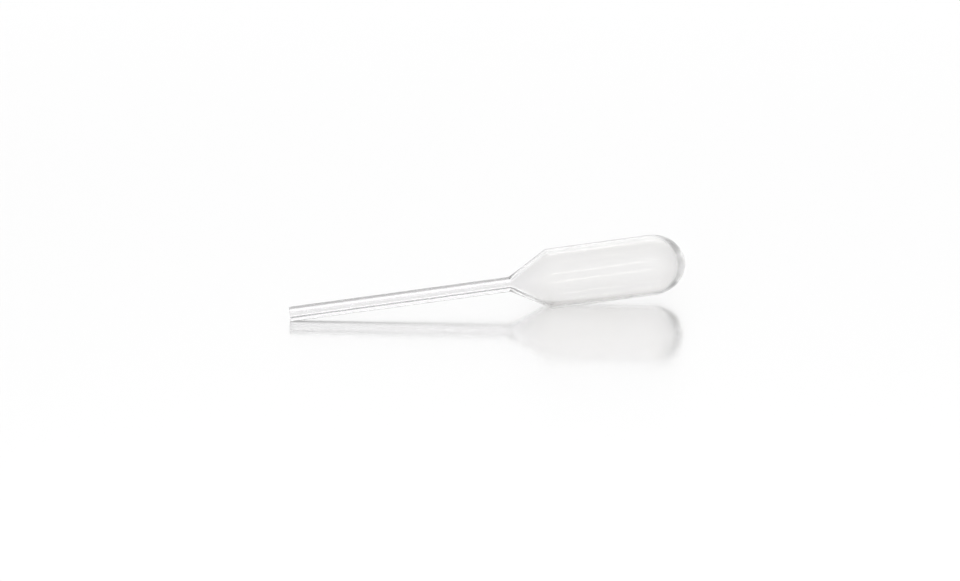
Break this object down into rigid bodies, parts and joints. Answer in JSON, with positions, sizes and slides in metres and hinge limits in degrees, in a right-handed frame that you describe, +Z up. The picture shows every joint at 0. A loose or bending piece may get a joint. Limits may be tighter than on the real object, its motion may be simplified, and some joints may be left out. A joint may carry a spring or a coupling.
{
  "type": "dropper pipette",
  "caption": "One-piece translucent plastic dropper: thin tubular stem with a fine bore, short cone and round-ended squeeze bulb, lying on its lip and shoulder.",
  "frame": {"origin": "on the table, under the middle of the pipette's box", "axes": "+X above the table from the mouth towards the bulb, +Z up; the pipette's own axis climbs 4.88 degrees along +X"},
  "size_m": [0.065, 0.0096, 0.0111],
  "materials": {
    "polyethylene": "translucent natural polyethylene, glossy, faintly milky"
  },
  "bodies": {
    "root": {"pipette": "polyethylene"}
  },
  "joints": []
}
